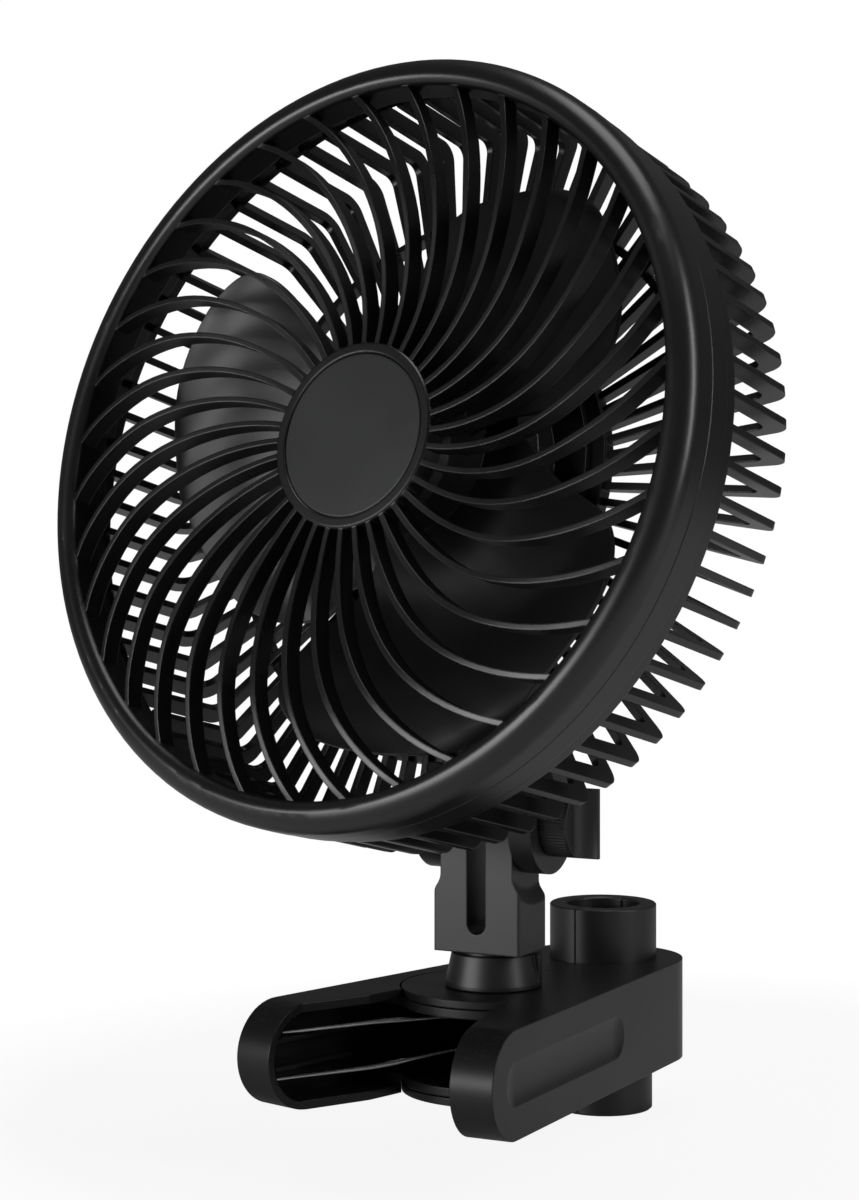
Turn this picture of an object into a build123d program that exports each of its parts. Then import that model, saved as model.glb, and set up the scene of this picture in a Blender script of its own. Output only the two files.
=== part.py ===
"""Clip fan: a caged round head on a yoke, a slotted tilt block and a spring clamp for a round pole.

Millimetres, +Z up. The origin is on the axis of the clamp's pole bore, at the clamp's mid-height, and the
handles point along -Y. Every piece is made in the resting pose: swivelled, tilted up and panned.
"""
import os
from math import asin, atan2, cos, degrees, dist, pi, radians, sin, sqrt

from build123d import *

os.makedirs("parts", exist_ok=True)

# ---------------------------------------------------------------- driving dimensions
# resting pose, degrees
SPLAY = 8.0  # each jaw, turned out from the clamp's centre line
SWIVEL = 7.0  # tilt block on the clamp
TILT = 15.2  # head, tipped up
PAN = 9.5  # head, turned on its post

GAP = 0.3  # clear space between faces of different bodies
RUN = 0.05  # radial clearance of every running fit

# clamp
NECK_REACH = 53.0  # pole axis to the hinge axis of the jaws
BODY_HALF = 13.0  # half the height of a jaw
SKIN = 2.0  # jaw walls
PLATE = 1.9  # jaw top and bottom plates
WALL_OUT = 29.0  # hinge axis to a jaw's outer face
HANDLE = 61.5  # hinge axis to a handle's end
LIP = 11.0  # depth of a handle's rim
DISC_R = 23.3  # round top plate that the neck stands on
HANDLE_RIB = 4.0  # depth of the ribs inside a handle
BORE_R = 9.7  # hole for the pole
COLLAR_R, COLLAR_FOOT = 14.2, 13.1  # outside of the collars, and of their lower ends
COLLAR_HALF = 27.2  # half their height
SOCKET = 2.0  # wall round the collars
JAW_TIP = 18.8  # pole axis to the tips of the jaws
SPLIT = 0.15  # half the gap between the jaws
SLEEVE_R = 3.5  # hinge sleeve
HINGE_R = 2.0  # long screw through it
THUMB_MID, THUMB_L, THUMB_H, THUMB_DEEP = 19.0, 69.7, 10.8, 0.9

# tilt block, ears and knob
BLOCK_W, BLOCK_D = 24.0, 15.4
BLOCK_AHEAD = 2.2  # its middle, ahead of the tilt axis
BLOCK_LOW = 22.4  # its underside above the origin
PIVOT = 55.3  # height of the tilt axis
WAIST = 10.0  # half its width between the ears
SLOT_W, SLOT_LOW = 5.2, 27.1
NECK_TOP, NECK_BOTTOM = 10.65, 12.2
EAR_R = 13.2
EAR_IN, EAR_OUT = 10.3, 16.4
BOLT_R = 3.0
KNOB_R, KNOB_END, FIN_END = 8.7, 24.2, 29.1

# head, measured from the middle of its widest circle
HEAD_REACH = 76.6  # ahead of the post's axis
HEAD_RISE = 78.3  # above the tilt axis
HEAD_SIDE = 3.1  # fan axis beside the post's axis
POST_R = 5.0  # pin at the top of the post
RIM_R = 95.0
OPENING_R = 87.6
SPOKES = 36
SPOKE_W, SPOKE_DEEP = 1.4, 5.0
SPOKE_SWEEP = 27.5  # degrees a spoke turns on its way out
SPOKE_START = 90.6
HUB_R, DISC_SEAT = 22.9, 20.3
SEAM = -4.5  # joint between grille and cage
RING_BACK, FLANGE_BACK = -11.5, -15.5
RIBS = 72
RIB_W, RIB_START = 1.8, 1.1
CAGE_BACK, LEG = -43.5, 4.3  # rear face of the cage and the depth of its legs
HOOP_R = 69.5
PLATE_R = 44.0
CUP_R, CUP_FRONT = 30.0, -29.0
BLADE_HUB = 18.6
BLADES = 3
SHAFT_R = 1.5
CAN_R = 16.6

# torsion spring
WIRE_R = 0.65
COIL_R = 4.4
COIL_DROP = 1.75  # from a leg's end of a coil to its other end
SPRING_Z = 2.9  # height of the middle of the two coils
BRIDGE_Z = 1.65  # half the height of the bridge between them


# ---------------------------------------------------------------- frames
def placed(plane, shift=(0, 0, 0), turn=(0, 0, 0)):
    """A plane moved and turned in another plane's own axes."""
    return Plane(plane.location * Location(shift, turn))


def upright(plane, angle=0):
    """The plane through another's z axis: x runs outwards and y along that axis."""
    spun = placed(plane, turn=(0, 0, angle))
    return Plane(origin=spun.origin, x_dir=spun.x_dir, z_dir=-spun.y_dir)


def side_axis(plane):
    """A plane whose z axis is another's x axis."""
    return Plane(origin=plane.origin, x_dir=-plane.z_dir, z_dir=plane.x_dir)


neck = Plane(origin=(0, -NECK_REACH, 0))
block_at = placed(neck, turn=(0, 0, SWIVEL))
yoke_at = placed(block_at, (0, 0, PIVOT), (-TILT, 0, 0))
post_at = placed(yoke_at, turn=(0, 0, -PAN))
head = placed(post_at, (HEAD_SIDE, -HEAD_REACH, HEAD_RISE), (90, 0, 0))
tilt_axis = side_axis(placed(block_at, (0, 0, PIVOT)))


# ---------------------------------------------------------------- shapes used more than once
def drum(plane, radius, low, high, hole=0.0, mode=Mode.ADD):
    """A cylinder or tube along a plane's z axis, in the open BuildPart."""
    with BuildSketch(placed(plane, (0, 0, low))) as ring:
        Circle(radius)
        if hole:
            Circle(hole, mode=Mode.SUBTRACT)
    extrude(ring.sketch, amount=high - low, mode=mode)


def lathe(plane, *outline, mode=Mode.ADD):
    """A closed outline of (radius, height) points turned about a plane's z axis."""
    with BuildSketch(upright(plane)) as profile:
        Polygon(*outline, align=None)
    revolve(profile.sketch, axis=Axis(plane.origin, plane.z_dir), mode=mode)


def block(plane, size, low, centre=(0, 0), mode=Mode.ADD):
    """A box on a plane, from a height along its z axis."""
    with BuildSketch(placed(plane, (*centre, low))) as base:
        Rectangle(size[0], size[1])
    extrude(base.sketch, amount=size[2], mode=mode)


def screw(plane, radius, length, head_r, head_h):
    """A cross-head screw whose head stands on a plane and whose shank runs down its z axis."""
    drum(plane, radius, -length, 0)
    drum(plane, head_r, 0, head_h)
    for angle in (0, 90):
        block(placed(plane, turn=(0, 0, angle)), (head_r * 1.2, head_r * 0.28, head_h), head_h * 0.45,
              mode=Mode.SUBTRACT)


# ---------------------------------------------------------------- front grille
def spoke_angle(radius):
    """Direction of a spoke at a radius, in degrees."""
    return SPOKE_START + SPOKE_SWEEP * max(0.0, (radius - HUB_R) / (OPENING_R - HUB_R)) ** 1.5


def polar(radius, angle):
    return radius * cos(radians(angle)), radius * sin(radians(angle))


SPOKE_RADII = (DISC_SEAT + 1.2, 36, 50, 64, 77, OPENING_R + 1.2)
DOME = ((DISC_SEAT, 2.4), (34, 2.9), (46, 4.1), (56, 5.3), (67, 6.2), (77, 5.6), (84, 4.6), (91, 2.4))

with BuildPart() as front_grille:
    with BuildSketch(placed(head, (0, 0, -6))) as spokes:
        with BuildLine():
            Spline([polar(r, spoke_angle(r)) for r in SPOKE_RADII])
        trace(line_width=SPOKE_W)
    with BuildSketch(placed(head, (0, 0, -6))):
        with PolarLocations(0, SPOKES):
            add(spokes.sketch_local)
    extrude(amount=14)
    with BuildSketch(upright(head)):
        with BuildLine():
            Spline(DOME)
            Polyline(DOME[-1], (DOME[-1][0], DOME[-1][1] - SPOKE_DEEP))
            Spline([(r, z - SPOKE_DEEP) for r, z in reversed(DOME)])
            Line((DOME[0][0], DOME[0][1] - SPOKE_DEEP), DOME[0])
        make_face()
    revolve(axis=Axis(head.origin, head.z_dir), mode=Mode.INTERSECT)
    # hub ring, open at the front for the disc
    lathe(head, (0, -1.3), (19.3, -1.3), (20.3, -3.3), (HUB_R, -3.3), (HUB_R, 2.4), (HUB_R - 0.4, 2.8),
          (DISC_SEAT + 0.3, 2.8), (DISC_SEAT, 2.5), (DISC_SEAT, 0.7), (0, 0.7))
    # rounded bezel with its inner skirt
    with BuildSketch(upright(head)):
        with BuildLine():
            ThreePointArc((RIM_R, 0), (93.7, 3.7), (90.7, 5.3))
            ThreePointArc((90.7, 5.3), (88.6, 4.8), (OPENING_R, 3.2))
            Polyline((OPENING_R, 3.2), (OPENING_R, -4.8), (89.2, -4.8), (89.5, 1.8), (91.0, 3.0),
                     (92.7, 1.2), (93.0, SEAM + 0.1), (RIM_R - 0.3, SEAM + 0.1), (RIM_R - 0.05, SEAM + 0.4),
                     (RIM_R, 0))
        make_face()
    revolve(axis=Axis(head.origin, head.z_dir))
front_grille.part.label = "front_grille"
export_step(front_grille.part, "parts/front_grille.step")

with BuildPart() as hub_disc:
    lathe(head, (0, 0.7), (DISC_SEAT - 0.15, 0.7), (DISC_SEAT - 0.15, 2.4), (DISC_SEAT - 0.4, 2.6), (0, 2.6))
hub_disc.part.label = "hub_disc"
export_step(hub_disc.part, "parts/hub_disc.step")

# ---------------------------------------------------------------- rear cage
SCREW_RING, SCREWS = 37.0, 3

with BuildPart() as rear_cage:
    for number in range(RIBS):
        with BuildSketch(placed(upright(head, RIB_START + number * 360 / RIBS), (0, 0, -RIB_W / 2))):
            with BuildLine():
                Polyline((89.7, RING_BACK + 1), (93.9, RING_BACK + 1), (93.2, CAGE_BACK + 4.5))
                RadiusArc((93.2, CAGE_BACK + 4.5), (88.7, CAGE_BACK), 4.5)
                Polyline((88.7, CAGE_BACK), (PLATE_R - 2, CAGE_BACK), (PLATE_R - 2, CAGE_BACK + LEG - 1.3),
                         (85.8, CAGE_BACK + LEG))
                RadiusArc((85.8, CAGE_BACK + LEG), (88.8, CAGE_BACK + LEG + 3), -3)
                Line((88.8, CAGE_BACK + LEG + 3), (89.7, RING_BACK + 1))
            make_face()
        extrude(amount=RIB_W)
    # ring that carries the ribs, with a tongue inside the bezel and a thin flange behind
    lathe(head, (91.6, RING_BACK), (93.0, RING_BACK), (93.0, FLANGE_BACK), (94.0, FLANGE_BACK), (94.0, RING_BACK),
          (94.6, RING_BACK), (94.75, SEAM - 0.4), (94.5, SEAM - 0.1), (92.7, SEAM - 0.1), (92.7, SEAM + 3),
          (91.2, SEAM + 3))
    # hoop round the back of the legs
    lathe(head, (HOOP_R - 1, CAGE_BACK - 1.6), (HOOP_R + 1, CAGE_BACK - 1.6), (HOOP_R + 1, CAGE_BACK + 2),
          (HOOP_R - 1, CAGE_BACK + 2))
    drum(head, PLATE_R, CAGE_BACK, CAGE_BACK + 4, hole=10)
    for number in range(SCREWS):
        spot = placed(head, (*polar(SCREW_RING, 30 + number * 360 / SCREWS), 0))
        drum(spot, 1.6, CAGE_BACK - 1, CAGE_BACK + 5, mode=Mode.SUBTRACT)
rear_cage.part.label = "rear_cage"
export_step(rear_cage.part, "parts/rear_cage.step")

# ---------------------------------------------------------------- motor and its covers
PLATE_FRONT = CAGE_BACK + 4
TUBE_R, BEARING_R = 4.5, 3.0

with BuildPart() as motor_cup:
    lathe(head, (40, PLATE_FRONT), (40, PLATE_FRONT + 2), (CUP_R + 1, PLATE_FRONT + 2), (CUP_R, CUP_FRONT - 3),
          (CUP_R - 3, CUP_FRONT), (TUBE_R, CUP_FRONT), (TUBE_R, CUP_FRONT - 2), (CUP_R - 4, CUP_FRONT - 2),
          (CUP_R - 2, CUP_FRONT - 4), (CUP_R - 1, PLATE_FRONT))
    for number in range(SCREWS):
        spot = placed(head, (*polar(SCREW_RING, 30 + number * 360 / SCREWS), 0))
        drum(spot, 1.6, PLATE_FRONT - 1, PLATE_FRONT + 3, mode=Mode.SUBTRACT)
motor_cup.part.label = "motor_cup"
export_step(motor_cup.part, "parts/motor_cup.step")

with BuildPart() as bearing_tube:
    lathe(head, (BEARING_R, -40), (TUBE_R + 2.5, -40), (TUBE_R + 2.5, -38.5), (TUBE_R, -38.5), (TUBE_R, -12.5),
          (BEARING_R, -12.5))
bearing_tube.part.label = "bearing_tube"
export_step(bearing_tube.part, "parts/bearing_tube.step")

with BuildPart() as bearing_front:
    drum(head, BEARING_R, -16.5, -12.5, hole=SHAFT_R + RUN)
bearing_front.part.label = "bearing_front"
export_step(bearing_front.part, "parts/bearing_front.step")

with BuildPart() as bearing_rear:
    drum(head, BEARING_R, -40, -36, hole=SHAFT_R + RUN)
bearing_rear.part.label = "bearing_rear"
export_step(bearing_rear.part, "parts/bearing_rear.step")

STATOR_R, TEETH = 13.3, 9
STATOR_BACK, STATOR_FRONT = -23.5, -14.5

with BuildPart() as stator:
    drum(head, 7, STATOR_BACK, STATOR_FRONT, hole=TUBE_R)
    for number in range(TEETH):
        spoke_at = placed(head, turn=(0, 0, number * 360 / TEETH))
        block(spoke_at, (6, 2.2, STATOR_FRONT - STATOR_BACK), STATOR_BACK, centre=(9.5, 0))
        with BuildSketch(placed(spoke_at, (0, 0, STATOR_BACK))) as shoe:
            Circle(STATOR_R)
            Circle(STATOR_R - 1.6, mode=Mode.SUBTRACT)
            with Locations((STATOR_R, 0)):
                Rectangle(6, 7, mode=Mode.INTERSECT)
        extrude(shoe.sketch, amount=STATOR_FRONT - STATOR_BACK)
stator.part.label = "stator"
export_step(stator.part, "parts/stator.step")

with BuildPart() as stator_coils:
    for number in range(TEETH):
        spoke_at = placed(head, turn=(0, 0, number * 360 / TEETH))
        block(spoke_at, (3.8, 4.0, 11.4), STATOR_BACK - 1.2, centre=(9.6, 0))
        block(spoke_at, (3.9, 2.2, 9.0), STATOR_BACK, centre=(9.6, 0), mode=Mode.SUBTRACT)
stator_coils.part.label = "stator_coils"
export_step(stator_coils.part, "parts/stator_coils.step")

with BuildPart() as circuit_board:
    drum(head, 13.5, CUP_FRONT, CUP_FRONT + 1.2, hole=TUBE_R)
    for number in range(4):
        block(placed(head, turn=(0, 0, 45 + 90 * number)), (3.5, 2.5, 1.4), CUP_FRONT + 1.2, centre=(9.5, 0))
circuit_board.part.label = "circuit_board"
export_step(circuit_board.part, "parts/circuit_board.step")

with BuildPart() as motor_shaft:
    drum(head, SHAFT_R, -39.5, -8.2)
motor_shaft.part.label = "motor_shaft"
export_step(motor_shaft.part, "parts/motor_shaft.step")

with BuildPart() as rotor_can:
    lathe(head, (SHAFT_R, -11), (SHAFT_R, -10), (CAN_R - 1, -10), (CAN_R, -11), (CAN_R, -26.5),
          (CAN_R - 1, -26.5), (CAN_R - 1, -11))
rotor_can.part.label = "rotor_can"
export_step(rotor_can.part, "parts/rotor_can.step")

with BuildPart() as magnet_ring:
    drum(head, CAN_R - 1, -24.5, -13.5, hole=STATOR_R + 0.5)
magnet_ring.part.label = "magnet_ring"
export_step(magnet_ring.part, "parts/magnet_ring.step")


# ---------------------------------------------------------------- blades
def ease(share):
    """A smooth step from 0 to 1."""
    held = min(1.0, max(0.0, share))
    return held * held * (3 - 2 * held)


def blade_point(radius, share):
    """A point of a blade's mid surface; share runs from 0 at the leading edge to 1 at the trailing edge."""
    lead = 12 + 14 * (radius / 75) ** 8
    trail = 140 - 30 * ease((radius - 22) / 22) - 0.045 * max(0, radius - 44) ** 2
    front = -7 - 13 * ease((66 - radius) / 34)
    back = -22 - 13 * ease((78 - radius) / 30) + 8 * ease((52 - radius) / 24)
    return (*polar(radius, lead + (trail - lead) * share), front + (back - front) * share)


BLADE_T = 1.5
BLADE_OUTLINE = ((17, 14), (41, 13), (54, 10.5), (60, 11.3), (65.5, 14), (70.3, 20.5), (74.2, 35.5), (76.5, 52),
                 (74.8, 62), (70.5, 71), (66.5, 84), (60, 98), (46, 109), (39, 113), (30, 131), (17, 142))

with BuildPart() as blade:
    thicken(Face.make_surface_from_array_of_points(
        [[blade_point(radius, step / 8) for step in range(-1, 10)] for radius in range(13, 81, 6)]),
        amount=BLADE_T / 2, both=True)
    with BuildSketch(Plane.XY.offset(-45)) as plan:
        with BuildLine():
            edge = Spline([polar(radius, angle) for radius, angle in BLADE_OUTLINE])
            Line(edge @ 1, edge @ 0)
        make_face()
        Circle(CAN_R + 1, mode=Mode.SUBTRACT)
    extrude(plan.sketch, amount=45, mode=Mode.INTERSECT)

with BuildPart() as fan_blades:
    lathe(head, (0, -7), (BLADE_HUB - 5, -7.6), (BLADE_HUB - 1, -9.4), (BLADE_HUB, -12), (BLADE_HUB, -28),
          (CAN_R, -28), (CAN_R, -10), (0, -10))
    for number in range(BLADES):
        add(blade.part.moved(placed(head, turn=(0, 0, number * 360 / BLADES)).location))
    drum(head, SHAFT_R, -12, -8.2, mode=Mode.SUBTRACT)
fan_blades.part.label = "fan_blades"
export_step(fan_blades.part, "parts/fan_blades.step")

# ---------------------------------------------------------------- rear housing with the post's boss
BOSS_R = 9.5
boss_at = placed(post_at, (0, 0, HEAD_RISE))  # on the post's axis, level with the fan axis
BOSS_LOW, BOSS_TOP, POCKET_LOW = -40.0, -5.0, -14.0
HOUSE_R = 29.0
CONTROL_Z, CONTROL_Y, CONTROL_R = -52.5, 8.0, 4.0
control_at = Plane(origin=head.from_local_coords((0, CONTROL_Y, CONTROL_Z)), x_dir=head.z_dir, z_dir=-head.x_dir)
socket_at = Plane(origin=head.from_local_coords((0, 0, -52.2)), x_dir=head.x_dir, z_dir=-head.y_dir)
SOCKET_R = 4.6

with BuildPart() as rear_housing:
    lathe(head, (0, -78), (13, -78), (20.5, -74.5), (26.5, -67), (HOUSE_R, -58), (HOUSE_R, CAGE_BACK - 2.5),
          (41, CAGE_BACK - 2.5), (41, CAGE_BACK), (0, CAGE_BACK))
    drum(boss_at, BOSS_R, BOSS_LOW, BOSS_TOP)
    lathe(head, (0, -76), (12.3, -76), (19, -72.8), (24.6, -66), (HOUSE_R - 2, -57.5), (HOUSE_R - 2, CAGE_BACK + 1),
          (0, CAGE_BACK + 1), mode=Mode.SUBTRACT)
    drum(boss_at, BOSS_R, BOSS_LOW, BOSS_TOP)
    drum(boss_at, POST_R + RUN, BOSS_LOW - 1, POCKET_LOW, mode=Mode.SUBTRACT)
    drum(boss_at, BOSS_R - 1.7, POCKET_LOW, BOSS_TOP - 2, mode=Mode.SUBTRACT)
    drum(control_at, CONTROL_R, HOUSE_R - 8, HOUSE_R + 1, mode=Mode.SUBTRACT)
    drum(socket_at, SOCKET_R, HOUSE_R - 4, HOUSE_R + 1, mode=Mode.SUBTRACT)
    for number in range(SCREWS):
        spot = placed(head, (*polar(SCREW_RING, 30 + number * 360 / SCREWS), 0))
        drum(spot, 1.6, CAGE_BACK - 4, CAGE_BACK + 1, mode=Mode.SUBTRACT)
rear_housing.part.label = "rear_housing"
export_step(rear_housing.part, "parts/rear_housing.step")

with BuildPart() as housing_screws:
    for number in range(SCREWS):
        spot = placed(head, (*polar(SCREW_RING, 30 + number * 360 / SCREWS), CAGE_BACK - 2.5), (180, 0, 0))
        screw(spot, 1.55, 8.6, 3, 1.8)
housing_screws.part.label = "housing_screws"
export_step(housing_screws.part, "parts/housing_screws.step")

with BuildPart() as speed_control:
    drum(control_at, CONTROL_R - 0.02, HOUSE_R - 12, HOUSE_R + 0.8, hole=1.5 + RUN)
    block(control_at, (12, 14, 7), HOUSE_R - 15)
    drum(control_at, 1.5 + RUN, HOUSE_R - 9, HOUSE_R + 1, mode=Mode.SUBTRACT)
speed_control.part.label = "speed_control"
export_step(speed_control.part, "parts/speed_control.step")

with BuildPart() as speed_knob:
    drum(control_at, 1.5, HOUSE_R - 8.5, HOUSE_R + 2)
    lathe(control_at, (0, HOUSE_R + 1.3), (5.1, HOUSE_R + 1.3), (4.8, HOUSE_R + 9), (4.3, HOUSE_R + 9.6),
          (0, HOUSE_R + 9.6))
    block(control_at, (6, 1, 1), HOUSE_R + 9.2, centre=(2.5, 0), mode=Mode.SUBTRACT)
speed_knob.part.label = "speed_knob"
export_step(speed_knob.part, "parts/speed_knob.step")

with BuildPart() as power_socket:
    drum(socket_at, SOCKET_R - 0.02, HOUSE_R - 10, HOUSE_R + 1.5, hole=2.7)
    drum(socket_at, SOCKET_R - 0.02, HOUSE_R - 11.5, HOUSE_R - 10)
    drum(socket_at, 1.0, HOUSE_R - 10, HOUSE_R - 1)
power_socket.part.label = "power_socket"
export_step(power_socket.part, "parts/power_socket.step")

# ---------------------------------------------------------------- yoke, its post and the tilt bolt
POST_TOP = HEAD_RISE + POCKET_LOW + GAP
SHOULDER = HEAD_RISE + BOSS_LOW - GAP
BRIDGE_LOW, BRIDGE_HIGH = 24.0, 32.0
ARM_D = 15.0
ear_axis = side_axis(yoke_at)

with BuildPart() as yoke:
    for low in (EAR_IN, -EAR_OUT):
        drum(ear_axis, EAR_R, low, low + EAR_OUT - EAR_IN)
        block(yoke_at, (EAR_OUT - EAR_IN, ARM_D, BRIDGE_HIGH), 0, centre=(low + (EAR_OUT - EAR_IN) / 2, 0))
    block(yoke_at, (2 * EAR_OUT, ARM_D, BRIDGE_HIGH - BRIDGE_LOW), BRIDGE_LOW)
    fillet(yoke.edges().filter_by(Axis(yoke_at.origin, yoke_at.y_dir))
           .sort_by(Axis(yoke_at.origin, yoke_at.z_dir))[-2:], radius=4)
    lathe(yoke_at, (0, BRIDGE_HIGH - 1), (9.5, BRIDGE_HIGH - 1), (7.5, SHOULDER), (POST_R, SHOULDER),
          (POST_R, POST_TOP), (0, POST_TOP))
    drum(yoke_at, 1.5, POST_TOP - 12, POST_TOP + 1, mode=Mode.SUBTRACT)
    drum(ear_axis, BOLT_R + 0.02, -EAR_OUT - 1, EAR_OUT + 1, mode=Mode.SUBTRACT)
yoke.part.label = "yoke"
export_step(yoke.part, "parts/yoke.step")

with BuildPart() as post_washer:
    drum(yoke_at, 7, POST_TOP, POST_TOP + 1, hole=1.6)
post_washer.part.label = "post_washer"
export_step(post_washer.part, "parts/post_washer.step")

with BuildPart() as post_screw:
    screw(placed(yoke_at, (0, 0, POST_TOP + 1)), 1.5, 10, 3, 1.8)
post_screw.part.label = "post_screw"
export_step(post_screw.part, "parts/post_screw.step")

with BuildPart() as tilt_bolt:
    drum(ear_axis, BOLT_R, -EAR_OUT, KNOB_END - 2)
    with BuildSketch(placed(ear_axis, (0, 0, -EAR_OUT - 3))):
        RegularPolygon(radius=6, side_count=6)
    extrude(amount=3)
tilt_bolt.part.label = "tilt_bolt"
export_step(tilt_bolt.part, "parts/tilt_bolt.step")

# ---------------------------------------------------------------- tilt knob
KNOB_IN = EAR_OUT + GAP
NUT_IN, NUT_OUT, NUT_R = 18.4, 22.0, 5.2
KNOB_RIBS = 64

with BuildPart() as tilt_knob:
    drum(tilt_axis, KNOB_R, KNOB_IN, KNOB_END)
    with BuildSketch(placed(tilt_axis, (0, 0, KNOB_IN))) as grooves:
        with PolarLocations(KNOB_R + 0.1, KNOB_RIBS):
            Circle(0.28)
    extrude(grooves.sketch, amount=KNOB_END - KNOB_IN - 0.8, mode=Mode.SUBTRACT)
    with BuildSketch(placed(block_at, (0, 0, PIVOT - KNOB_R))) as fin:
        with BuildLine():
            Polyline((KNOB_END, -4.2), (KNOB_END - 1, -4.2), (KNOB_END - 1, 4.2), (KNOB_END, 4.2))
            ThreePointArc((KNOB_END, 4.2), (KNOB_END + 1.5, 1.8), (FIN_END, 0.7))
            Line((FIN_END, 0.7), (FIN_END, -0.7))
            ThreePointArc((FIN_END, -0.7), (KNOB_END + 1.5, -1.8), (KNOB_END, -4.2))
        make_face()
    extrude(fin.sketch, amount=2 * KNOB_R)
    drum(tilt_axis, KNOB_R, KNOB_IN - 1, FIN_END + 1, mode=Mode.INTERSECT)
    drum(tilt_axis, BOLT_R + RUN, KNOB_IN - 1, KNOB_END - 1.5, mode=Mode.SUBTRACT)
    drum(tilt_axis, NUT_R + 0.02, KNOB_IN - 1, NUT_OUT, mode=Mode.SUBTRACT)
tilt_knob.part.label = "tilt_knob"
export_step(tilt_knob.part, "parts/tilt_knob.step")

with BuildPart() as tilt_nut:
    with BuildSketch(placed(tilt_axis, (0, 0, NUT_IN))):
        RegularPolygon(radius=NUT_R, side_count=6)
        Circle(BOLT_R + RUN, mode=Mode.SUBTRACT)
    extrude(amount=NUT_OUT - NUT_IN)
tilt_nut.part.label = "tilt_nut"
export_step(tilt_nut.part, "parts/tilt_nut.step")

with BuildPart() as spring_washer:
    drum(tilt_axis, NUT_R, KNOB_IN, NUT_IN, hole=BOLT_R + 0.3)
spring_washer.part.label = "spring_washer"
export_step(spring_washer.part, "parts/spring_washer.step")

# ---------------------------------------------------------------- tilt block with its neck
NECK_LOW = BODY_HALF + GAP
NECK_HIGH = BLOCK_LOW - 0.8
SWIVEL_END = -BODY_HALF - GAP
SCREW_TOP = NECK_LOW + 8

with BuildPart() as tilt_block:
    with BuildSketch(placed(tilt_axis, (0, 0, -BLOCK_W / 2))) as flank:
        with Locations((0, -BLOCK_AHEAD)):
            Circle(BLOCK_D / 2)
        with Locations(((PIVOT - BLOCK_LOW) / 2, -BLOCK_AHEAD)):
            Rectangle(PIVOT - BLOCK_LOW, BLOCK_D)
    extrude(flank.sketch, amount=BLOCK_W)
    fillet(tilt_block.edges().filter_by(Axis.Z), radius=0.7)
    for way in (1, -1):
        with BuildSketch(upright(tilt_axis)) as waist:
            with BuildLine():
                Spline([(16.5, way * WAIST), (21.6, way * (BLOCK_W / 2 + 0.05))], tangents=((1, 0), (1, 0)))
                Polyline((21.6, way * (BLOCK_W / 2 + 0.05)), (21.6, way * 13), (0, way * 13), (0, way * WAIST),
                         (16.5, way * WAIST))
            make_face()
        revolve(waist.sketch, axis=Axis(tilt_axis.origin, tilt_axis.z_dir), mode=Mode.SUBTRACT)
    with BuildSketch(placed(block_at, (0, 0, 0), (90, 0, 0))) as slot:
        with Locations((0, SLOT_LOW + SLOT_W / 2)):
            Circle(SLOT_W / 2)
        with Locations((0, SLOT_LOW + SLOT_W / 2 + 20)):
            Rectangle(SLOT_W, 40)
    extrude(slot.sketch, amount=BLOCK_D, both=True, mode=Mode.SUBTRACT)
    drum(tilt_axis, BOLT_R + RUN, -BLOCK_W, BLOCK_W, mode=Mode.SUBTRACT)
    drum(block_at, 8.8, NECK_HIGH - 1, BLOCK_LOW)
    lathe(block_at, (0, NECK_LOW), (NECK_BOTTOM, NECK_LOW), (NECK_BOTTOM, NECK_LOW + 1), (NECK_TOP, NECK_HIGH),
          (0, NECK_HIGH))
    with BuildSketch(placed(block_at, (0, 0, NECK_LOW))) as back:
        Circle(NECK_BOTTOM)
        with Locations((0, -NECK_BOTTOM + 1)):
            Rectangle(3 * NECK_BOTTOM, 2 * NECK_BOTTOM, mode=Mode.SUBTRACT)
    extrude(back.sketch, amount=NECK_HIGH - NECK_LOW)
    drum(block_at, HINGE_R, NECK_LOW - 1, SCREW_TOP, mode=Mode.SUBTRACT)
tilt_block.part.label = "tilt_block"
export_step(tilt_block.part, "parts/tilt_block.step")

with BuildPart() as swivel_washer:
    drum(block_at, 6, SWIVEL_END - 1.2, SWIVEL_END, hole=HINGE_R + RUN)
swivel_washer.part.label = "swivel_washer"
export_step(swivel_washer.part, "parts/swivel_washer.step")

with BuildPart() as swivel_screw:
    screw(placed(block_at, (0, 0, SWIVEL_END - 1.2), (180, 0, 0)), HINGE_R, SCREW_TOP - SWIVEL_END + 1.2, 4.2, 2.2)
swivel_screw.part.label = "swivel_screw"
export_step(swivel_screw.part, "parts/swivel_screw.step")


# ---------------------------------------------------------------- clamp jaws
def clamp_point(side, out, ahead):
    """A plan point of one jaw (side 1 right, -1 left): out from the hinge axis and ahead of it."""
    turn = radians(SPLAY)
    return (side * (out * cos(turn) + ahead * sin(turn)),
            -NECK_REACH + out * sin(turn) - ahead * cos(turn))


def jaw_plan(side, inset):
    """The jaw's plan: its outer outline moved in by inset, closed along the middle of the clamp."""
    wall = WALL_OUT - inset
    tip = (side * SPLIT, JAW_TIP - inset)
    end = HANDLE - inset
    shoulder = clamp_point(side, wall, -NECK_REACH + 1)
    with BuildLine(mode=Mode.PRIVATE) as outline:
        ThreePointArc(tip, (side * (17.2 - 0.8 * inset), 12.0 - 0.6 * inset), shoulder)
        Polyline(shoulder, clamp_point(side, wall, end), clamp_point(side, WALL_OUT - LIP, end),
                 clamp_point(side, WALL_OUT - LIP, 50), clamp_point(side, 14.5, 35), clamp_point(side, 13.6, 31),
                 clamp_point(side, 13.6, 18), (side * SPLIT, -NECK_REACH), tip)
    return make_face(outline.line, mode=Mode.PRIVATE)


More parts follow.
